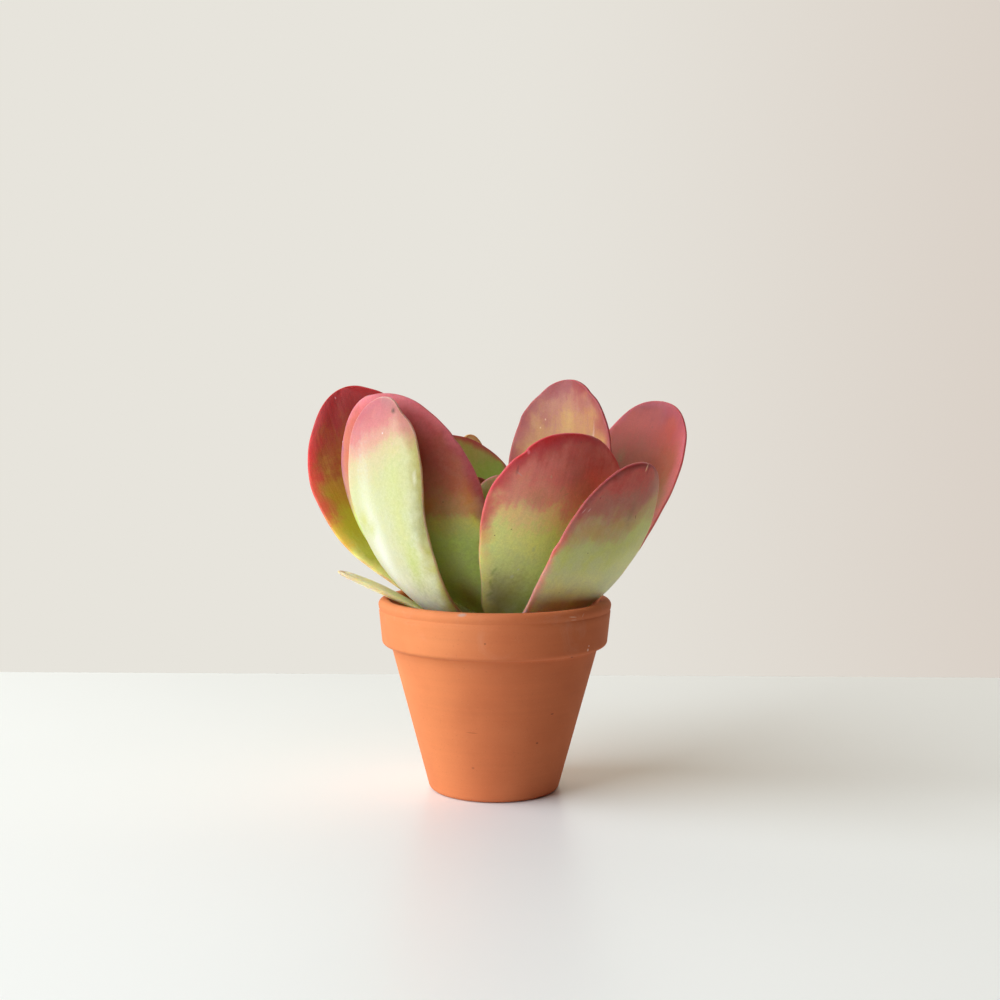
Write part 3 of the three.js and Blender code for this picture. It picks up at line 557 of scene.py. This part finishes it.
def blade_axes(form, share):
    """Unit vectors along the blade, across it and to its inner side, at each share of its length."""
    first, last = form["lean"]
    lean = np.radians(last + (first - last) * (1 - share) ** 2)
    heading = np.radians(form["heading"][0] + (form["heading"][1] - form["heading"][0]) * share)
    facing = np.radians(form["facing"][0] + (form["facing"][1] - form["facing"][0]) * share)
    along = np.stack([np.sin(lean) * np.cos(heading), np.sin(lean) * np.sin(heading), np.cos(lean)], -1)
    across = np.stack([-np.sin(facing), np.cos(facing), 0 * facing], -1)
    across = across - (across * along).sum(-1, keepdims=True) * along
    across /= np.linalg.norm(across, axis=-1, keepdims=True)
    return along, across, np.cross(along, across)


def half_width(form, share):
    """Half the width of the flat blade: a stalk that widens to the shoulders, and a round end."""
    rise = np.sin(np.pi / 2 * np.minimum(share / form["widest"], 1)) ** SHOULDER_POWER
    body = form["stalk"] + (1 - form["stalk"]) * rise
    end = np.maximum(share - form["widest"], 0) / (1 - form["widest"])
    round_end = np.maximum(1 - end ** TIP_ROUNDNESS, 0) ** (1 / TIP_ROUNDNESS)
    neck = np.maximum(1 - share / NECK_SHARE, 0)
    return form["width"] / 2 * body * round_end * (1 - NECK_NARROWING * neck ** 2)


def middle_line(form, share):
    """Points of the leaf's middle line, walked in short steps from its root in the stem."""
    steps = (np.arange(WALK_STEPS) + 0.5) / WALK_STEPS
    along, _, _ = blade_axes(form, steps)
    heading = math.radians(form["heading"][0])
    start = np.array([LEAF_ROOT_RADIUS * math.cos(heading), LEAF_ROOT_RADIUS * math.sin(heading),
                      FIRST_NODE_HEIGHT + NODE_SPACING * form["pair"]])
    walk = np.vstack([start, start + np.cumsum(along, 0) * form["length"] / WALK_STEPS])
    at = share * WALK_STEPS
    return np.stack([np.interp(at, np.arange(WALK_STEPS + 1), walk[:, k]) for k in range(3)], -1)


def rim_distance(form, share, side):
    """Millimetres from each point of the flat blade to its outline."""
    outline_share = (1 - np.cos(np.pi * np.arange(RIM_SAMPLES + 1) / RIM_SAMPLES)) / 2
    outline_half = half_width(form, outline_share)
    x = (share * form["length"])[:, None] + 0 * side
    y = np.abs(half_width(form, share)[:, None] * side)
    best = np.full(x.shape, np.inf)
    for s, h in zip(outline_share, outline_half):
        best = np.minimum(best, np.hypot(x - s * form["length"], y - h))
    return best


def outline_change(leaf_name, share, half, seed, side):
    """Millimetres that the outline moves outward on each side: its own bulges and dips, and small waves."""
    change = []
    for sign in (-1, 1):
        total = OUTLINE_WAVE * waves(share * 2 * np.pi, seed + 20 + sign, 5, 3.0)
        for at_sign, at, reach, amount in LEAF_OUTLINES.get(leaf_name, ()):
            total = total + (at_sign == sign) * amount * np.exp(-((share - at) / reach) ** 2)
        # less where the leaf is under 5 mm to a side, and none near the stem
        change.append(total * np.clip(half / 5, 0, 1) * np.clip((share - 0.25) * 8, 0, 1))
    return np.where(side < 0, change[0][:, None], change[1][:, None])


def make_leaf(leaf_name, form, look, seed):
    """One leaf: rings of points around its blade, from the root in the stem to the tip."""
    name = leaf_name.replace("leaf_", "blade_")
    rows = np.arange(LEAF_ROWS) / LEAF_ROWS
    share = (1 - np.cos(np.pi * rows)) / 2
    spread = np.sin(np.pi / 2 * np.linspace(-1, 1, LEAF_SPANS + 1))
    side = np.concatenate([spread, -spread[1:-1]])[None, :]
    face = np.concatenate([np.ones(LEAF_SPANS + 1), -np.ones(LEAF_SPANS - 1)])[None, :]
    end = np.maximum(share - form["widest"], 0) / (1 - form["widest"])
    sharp, longer, aside = LEAF_TIPS.get(leaf_name, (0.0, 0.0, 0.0))
    taper = (1 - sharp * end ** 10)[:, None]
    half = half_width(form, share)[:, None] * taper
    bend = math.radians(form["cup"])
    thick = LEAF_BASE_THICKNESS + (LEAF_TIP_THICKNESS - LEAF_BASE_THICKNESS) * share
    thick = np.minimum(thick, form["width"] / SLIMMEST_LEAF)[:, None] * taper
    edge = np.minimum(LEAF_EDGE_THICKNESS, thick)
    rim = rim_distance(form, share, side)
    rounding = edge / 2
    near = np.clip(half * (1 - np.abs(side)) / rounding, 0, 1)
    profile = rounding * np.sqrt(1 - (1 - near) ** 2)
    profile = profile + (thick - edge) / 2 * (1 - side ** 2) ** 0.7
    offset = face * profile

    # a faint groove up the inner side and keel down the outer side, and slow waves of the blade
    size = min(form["width"] / FULL_RELIEF_WIDTH, 1.0)
    groove = -GROOVE_DEPTH * size * np.exp(-(side / 0.10) ** 2) * np.clip(1.1 - share[:, None], 0, 1)
    run = share[:, None] * 2 * np.pi
    sway = np.where(side > 0, waves(run, seed, 4, 1.5), waves(run, seed + 1, 4, 1.5))
    sway = EDGE_SWAY * size * np.abs(side) ** 3 * sway
    dent = DENT_DEPTH * size * (waves(run + 2 * side, seed + 2, 4, 1.3) + waves(3 * side - run, seed + 3, 3, 1.0))
    lift = (groove + sway + dent) * np.clip(share[:, None] * 6, 0, 1)

    along, across, inward = (a[:, None, :] for a in blade_axes(form, share))
    tilt = bend * side
    points = middle_line(form, share)[:, None, :] + (along * longer + across * aside) * end[:, None, None] ** 6
    wider = outline_change(leaf_name, share, half[:, 0], seed, side) * side * np.abs(side)
    points = points + across * (half * np.sin(tilt) / bend + wider * np.cos(tilt) - offset * np.sin(tilt))[..., None]
    points = points + inward * (half * (1 - np.cos(tilt)) / bend + wider * np.sin(tilt)
                                + offset * np.cos(tilt) + lift)[..., None]
    size_of_ring = side.shape[1]
    tip = middle_line(form, np.array([1.0])) + longer * along[-1] + aside * across[-1]
    root = points[0].mean(0)
    vertices = np.vstack([points.reshape(-1, 3), root, tip])
    faces = [f[::-1] for f in ring_faces(LEAF_ROWS, size_of_ring)]
    centre = LEAF_ROWS * size_of_ring
    last = centre - size_of_ring
    for i in range(size_of_ring):
        j = (i + 1) % size_of_ring
        faces.append((i, j, centre))
        faces.append((last + j, last + i, centre + 1))

    tissue = leaf_tissue(name + "_tissue", look, LEAF_MARKS.get(leaf_name, (1, ())),
                         OUTER_BLOOM.get(leaf_name, 0.0), form, seed)
    obj = make_object(name, vertices, faces, tissue)
    shares = np.stack([share[:, None] + 0 * side, side + 0 * half, rim], -1).reshape(-1, 3)
    places = np.stack([share[:, None] * form["length"] + 0 * side, side * half,
                       FACE_PLACE * face + 0 * half], -1)
    ends = ((0, 0, 3.0), (1.0, 0, 0.0))
    set_vectors(obj, "share", np.vstack([shares, ends]))
    set_vectors(obj, "place", np.vstack([places.reshape(-1, 3), places[0].mean(0), places[-1].mean(0)]))
    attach(obj, "root")
    return obj


# ----------------------------------------
# Pot, soil and stem
# ----------------------------------------

def arc(x, z, radius, first, last):
    angles = np.radians(np.linspace(first, last, ARC_STEPS + 1))
    return [(x + radius * math.cos(a), z + radius * math.sin(a)) for a in angles]


def finely(profile):
    """The same closed profile with points added along its long straight runs."""
    points = []
    for (x0, z0), (x1, z1) in zip(profile, profile[1:]):
        count = max(1, math.ceil(math.hypot(x1 - x0, z1 - z0) / LONGEST_STEP))
        points += [(x0 + (x1 - x0) * k / count, z0 + (z1 - z0) * k / count) for k in range(count)]
    return np.array(points)


def pot_profile():
    """The pot's section, as radius and height: up its outside, over the lip and down to the drain hole."""
    foot, collar, lip = FOOT_ROUNDING, COLLAR_ROUNDING, LIP_ROUNDING
    inner_foot = [(INNER_FOOT_RADIUS, INNER_FOOT_HEIGHT), (26.9, 9.6), (24.2, 8.0), (21.0, 7.3), (18.0, 7.0)]
    return [
        (DRAIN_RADIUS + 0.6, 0),
        *arc(FOOT_RADIUS - foot, foot, foot, -90, -8),
        (BODY_TOP_RADIUS - 0.2, COLLAR_FOOT_HEIGHT - 2.2),
        (BODY_TOP_RADIUS + 0.1, COLLAR_FOOT_HEIGHT - 1.0),
        (BODY_TOP_RADIUS + 0.8, COLLAR_FOOT_HEIGHT - 0.2),
        (BODY_TOP_RADIUS + 1.6, COLLAR_FOOT_HEIGHT),
        *arc(COLLAR_FOOT_RADIUS - collar, COLLAR_FOOT_HEIGHT + collar, collar, -90, -5),
        (RIM_RADIUS - 0.30, POT_HEIGHT - 5.6),
        (RIM_RADIUS - 0.55, POT_HEIGHT - 5.0),
        (RIM_RADIUS - 0.60, POT_HEIGHT - 4.7),
        (RIM_RADIUS - 0.25, POT_HEIGHT - 4.1),
        *arc(RIM_RADIUS - lip, POT_HEIGHT - lip, lip, 0, 90),
        *arc(MOUTH_RADIUS + lip, POT_HEIGHT - lip, lip, 90, 180),
        *inner_foot,
        (DRAIN_RADIUS + 0.6, FLOOR_THICKNESS),
        (DRAIN_RADIUS, FLOOR_THICKNESS - 0.6),
        (DRAIN_RADIUS, 0.6),
        (DRAIN_RADIUS + 0.6, 0),
    ]


def make_pot():
    profile = finely(pot_profile())
    turn = np.arange(POT_SIDES) / POT_SIDES * 2 * np.pi
    radius = profile[:, 0][:, None] + 0 * turn
    height = profile[:, 1][:, None] + 0 * turn
    # hand-finished roundness and level: a few tenths of a millimetre off, none at the foot it stands on
    radius = radius * (1 + 0.0016 * waves(turn, 41, 3) * np.clip(height / 40, 0, 1))
    height = height + 0.22 * waves(turn, 43, 3) * np.clip((height - 60) / 30, 0, 1)
    points = np.stack([radius * np.cos(turn), radius * np.sin(turn), height], -1).reshape(-1, 3)
    pot = make_object("pot_body", points, ring_faces(len(profile), POT_SIDES, closed_rows=True), terracotta())
    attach(pot, "root")
    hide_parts("terracotta_pot")


def inner_wall(height):
    """The radius of the pot's inside at a height."""
    share = (height - INNER_FOOT_HEIGHT) / (POT_HEIGHT - LIP_ROUNDING - INNER_FOOT_HEIGHT)
    return INNER_FOOT_RADIUS + (MOUTH_RADIUS - INNER_FOOT_RADIUS) * share


def soil_height(x, y):
    """A low mound around the stem, uneven in lumps from 40 mm down to 1 mm."""
    fall = np.clip((np.hypot(x, y) - MOUND_TOP_RADIUS) / MOUND_WIDTH, 0, 1)
    height = SOIL_TOP_HEIGHT - (SOIL_TOP_HEIGHT - SOIL_EDGE_HEIGHT) * fall
    for k, (size, amount) in enumerate(((0.16, 0.55), (0.42, 0.32), (1.1, 0.20), (2.3, 0.12))):
        height = height + amount * waves(size * (x + 0.6 * y), 60 + k, 3) * waves(size * (y - 0.5 * x), 70 + k, 3)
    return height


def make_soil():
    turn = np.arange(SOIL_SIDES) / SOIL_SIDES * 2 * np.pi
    rings = []
    for radius in np.linspace(0.8, inner_wall(SOIL_EDGE_HEIGHT) - WALL_GAP, SOIL_ROWS):
        x, y = radius * np.cos(turn), radius * np.sin(turn)
        rings.append(np.stack([x, y, soil_height(x, y)], -1))
    for height in (48.0, 30.0, 12.0):
        radius = inner_wall(height) - WALL_GAP
        rings.append(np.stack([radius * np.cos(turn), radius * np.sin(turn), 0 * turn + height], -1))
    for radius, height in ((24.0, 8.4), (18.0, 7.3), (0.8, 7.3)):
        rings.append(np.stack([radius * np.cos(turn), radius * np.sin(turn), 0 * turn + height], -1))
    points = np.vstack(rings)
    faces = [f[::-1] for f in ring_faces(len(rings), SOIL_SIDES)]
    faces.append(tuple(range(SOIL_SIDES)))
    faces.append(tuple(range((len(rings) - 1) * SOIL_SIDES, len(rings) * SOIL_SIDES))[::-1])
    soil = make_object("soil_fill", points, faces, potting_mix())
    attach(soil, "root")
    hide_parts("potting_soil")


def pebble(rng, centre, size, flatness):
    """A small irregular lump: a cube rounded and knocked about."""
    grid = [(a, b, c) for a in (-1, 0, 1) for b in (-1, 0, 1) for c in (-1, 0, 1) if (a, b, c) != (0, 0, 0)]
    points = np.array(grid, dtype=float)
    points /= np.linalg.norm(points, axis=1, keepdims=True) ** 0.8
    points *= rng.uniform(0.72, 1.1, (len(points), 1))
    points *= np.array([1.0, rng.uniform(0.5, 0.9), flatness * rng.uniform(0.7, 1.2)])
    spin = Matrix.Rotation(rng.uniform(0, 6.28), 3, "Z") @ Matrix.Rotation(rng.uniform(-0.5, 0.5), 3, "X")
    points = points @ np.array(spin).T * size + centre
    index = {g: i for i, g in enumerate(grid)}
    faces = []
    for axis in range(3):
        for sign in (-1, 1):
            for a in (-1, 0):
                for b in (-1, 0):
                    corners = []
                    for da, db in ((0, 0), (1, 0), (1, 1), (0, 1)):
                        key = [0, 0, 0]
                        key[axis] = sign
                        key[(axis + 1) % 3] = a + da
                        key[(axis + 2) % 3] = b + db
                        corners.append(index[tuple(key)])
                    faces.append(tuple(corners if sign > 0 else corners[::-1]))
    return points, faces


def scatter(name, count, size_range, flatness, material, seed):
    """Loose bits lying on the soil around the stem, as one piece."""
    rng = np.random.default_rng(seed)
    points, faces = [], []
    for number in range(count):
        radius = LOOSE_BITS_REACH * math.sqrt(rng.uniform(0.06, 1))
        turn = rng.uniform(0, 2 * math.pi)
        size = rng.uniform(*size_range)
        x, y = radius * math.cos(turn), radius * math.sin(turn)
        z = float(soil_height(np.array(x), np.array(y))) + 0.12 * size
        more, quads = pebble(rng, np.array([x, y, z]), size, flatness)
        points.append(more)
        faces += [tuple(number * len(more) + i for i in quad) for quad in quads]
    obj = make_object(name, np.vstack(points), faces, material)
    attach(obj, "root")


def make_stem():
    """A short stem that tapers over its top three nodes, a little swollen at each node, with a round end."""
    heights = np.linspace(STEM_FOOT_HEIGHT + 0.3, STEM_TOP_HEIGHT, STEM_ROWS)
    turn = np.arange(STEM_SIDES) / STEM_SIDES * 2 * np.pi
    node = (heights - FIRST_NODE_HEIGHT) / NODE_SPACING
    taper = np.clip((node - 3) / 3, 0, 1)
    radius = STEM_RADIUS + (STEM_TIP_RADIUS - STEM_RADIUS) * taper ** 1.5
    swelling = NODE_SWELLING * np.exp(-((node - np.round(node)) / 0.22) ** 2) * (node > -0.5)
    radius = (radius + swelling) * np.sqrt(np.clip((STEM_TOP_HEIGHT - heights) / 1.8, 0.0004, 1))
    radius = radius[:, None] * (1 + 0.012 * waves(turn[None, :] + heights[:, None] / 9, 91, 4))
    points = np.stack([radius * np.cos(turn), radius * np.sin(turn), heights[:, None] + 0 * turn], -1)
    faces = ring_faces(STEM_ROWS, STEM_SIDES)
    faces.append(tuple(range(STEM_SIDES))[::-1])
    faces.append(tuple(range((STEM_ROWS - 1) * STEM_SIDES, STEM_ROWS * STEM_SIDES)))
    stem = make_object("stem_shoot", points.reshape(-1, 3), faces, stem_bark("stem_skin", "7d6a4c", "9aa05c"))
    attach(stem, "root")
    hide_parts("stem")


# ----------------------------------------
# Studio: floor, light and camera
# ----------------------------------------

def make_floor():
    """A pale sealed tabletop. It ends some way behind the pot, and the pale wall shows beyond it."""
    material, tree = new_material("tabletop_sealed")
    where = add(tree, "TexCoord").outputs["Object"]
    cloud = add(tree, "TexNoise", {"Vector": where, "Scale": 3.0, "Detail": 2.0})
    tone = add(tree, "ValToRGB", {0: cloud}, ((0.3, "ececea"), (0.7, "efefed")))
    surface = add(tree, "BsdfPrincipled", {"Base Color": tone, "Roughness": 0.36, "IOR": 1.45})
    add(tree, "OutputMaterial", {"Surface": surface})
    side, front, back = 1500, -1500, 281
    floor = make_object("floor", [(-side, front, 0), (side, front, 0), (side, back, 0), (-side, back, 0)],
                        [(0, 1, 2, 3)], material, smooth=False)


# Window and camera, in metres. The window's angles are degrees, the camera's are radians.
WINDOW_COLOR = "ecf8ff"
WINDOW_WATTS = 102.0
WINDOW_SIZE = 2.5
WINDOW_DISTANCE = 2.2
WINDOW_AZIMUTH = 203.0
WINDOW_ELEVATION = 29.0
WALL_COLOR = "fffeeb"
WALL_LIGHT = 0.98
ROOM_COLOR = "ffa080"
ROOM_LIGHT = 0.13
CAMERA_PLACE = (0.0021, -0.654, 0.178)
CAMERA_PITCH = 0.0629
CAMERA_ROLL = 0.0057


def make_light():
    """Cool daylight from one wide window to the left and a little in front, the pale wall behind that gives
    it back, and a faint warm glow from the rest of the room."""
    azimuth, elevation = math.radians(WINDOW_AZIMUTH), math.radians(WINDOW_ELEVATION)
    toward = Vector((math.cos(elevation) * math.cos(azimuth), math.cos(elevation) * math.sin(azimuth),
                     math.sin(elevation)))
    data = bpy.data.lights.new("window_light", "AREA")
    data.shape = "SQUARE"
    data.size = WINDOW_SIZE
    data.color = linear(WINDOW_COLOR)[:3]
    data.energy = WINDOW_WATTS
    lamp = bpy.data.objects.new("window_light", data)
    lamp.location = Vector((0, 0, 0.09)) + toward * WINDOW_DISTANCE
    lamp.rotation_euler = toward.to_track_quat("Z", "Y").to_euler()
    lamp.visible_camera = False
    bpy.context.scene.collection.objects.link(lamp)

    world = bpy.data.worlds.new("studio")
    bpy.context.scene.world = world
    world.use_nodes = True
    tree = world.node_tree
    tree.nodes.clear()
    right, back, up = add(tree, "SeparateXYZ", {0: add(tree, "TexCoord").outputs["Generated"]}).outputs
    behind = add(tree, "MapRange", {0: back, 1: 0.2, 2: 0.6, 3: 0.0, 4: WALL_LIGHT})
    above = add(tree, "MapRange", {0: up, 1: 0.0, 2: 1.0, 3: 0.0, 4: ROOM_LIGHT})
    wall = add(tree, "Background", {"Color": linear(WALL_COLOR), "Strength": behind})
    room = add(tree, "Background", {"Color": linear(ROOM_COLOR), "Strength": above})
    given = add(tree, "AddShader", {0: wall, 1: room})
    # what the camera sees of the wall: a soft tone, with painted shade that darkens it to the right, away from the
    # window
    tone = add(tree, "MapRange", {0: right, 1: -0.05, 2: 0.50}, interpolation_type="SMOOTHSTEP")
    tone = add(tree, "Mix", {0: tone, 6: linear("e7e4dc"), 7: linear("d7ccc2")}, data_type="RGBA")
    shown = add(tree, "Background", {"Color": tone, "Strength": 1.0})
    seen = add(tree, "LightPath").outputs["Is Camera Ray"]
    both = add(tree, "MixShader", {0: seen, 1: given, 2: shown})
    add(tree, "OutputWorld", {"Surface": both})


def make_camera():
    """At the photograph's place: 65 cm away, a little lower than the plant's top, looking slightly down."""
    data = bpy.data.cameras.new("camera")
    data.lens = 50.0
    data.sensor_width = 36.0
    data.clip_end = 50.0
    camera = bpy.data.objects.new("camera", data)
    camera.matrix_world = (Matrix.Translation(CAMERA_PLACE) @ Matrix.Rotation(math.pi / 2 - CAMERA_PITCH, 4, "X")
                           @ Matrix.Rotation(CAMERA_ROLL, 4, "Z"))
    bpy.context.scene.collection.objects.link(camera)
    bpy.context.scene.camera = camera


# ----------------------------------------
# Assembly
# ----------------------------------------

make_camera()
make_light()
make_floor()
bpy.context.scene.view_settings.view_transform = "Standard"

make_pot()
make_soil()
scatter("bark_chips", 260, (1.2, 2.8), 0.45,
        loose_bits("pine_bark_chipped", ((0.1, "3e2616"), (0.5, "5f3d24"), (0.9, "86603c")), 0.5, 0.85),
        11)
scatter("perlite_grains", 60, (0.7, 1.5), 0.8,
        loose_bits("perlite_popped", ((0.2, "cfcabc"), (0.8, "efece2")), 0.3, 0.8), 12)
make_stem()
for leaf_seed, (leaf_name, leaf_row) in enumerate(LEAF_FORMS.items(), 1):
    blade = make_leaf(leaf_name, dict(zip(FORM_COLUMNS, leaf_row)), LEAF_LOOKS[leaf_name], leaf_seed)
    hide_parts(leaf_name)

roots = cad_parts["roots"]
roots.data.materials.clear()
roots.data.materials.append(stem_bark("root_skin", "b59a6c", "d2bc92"))
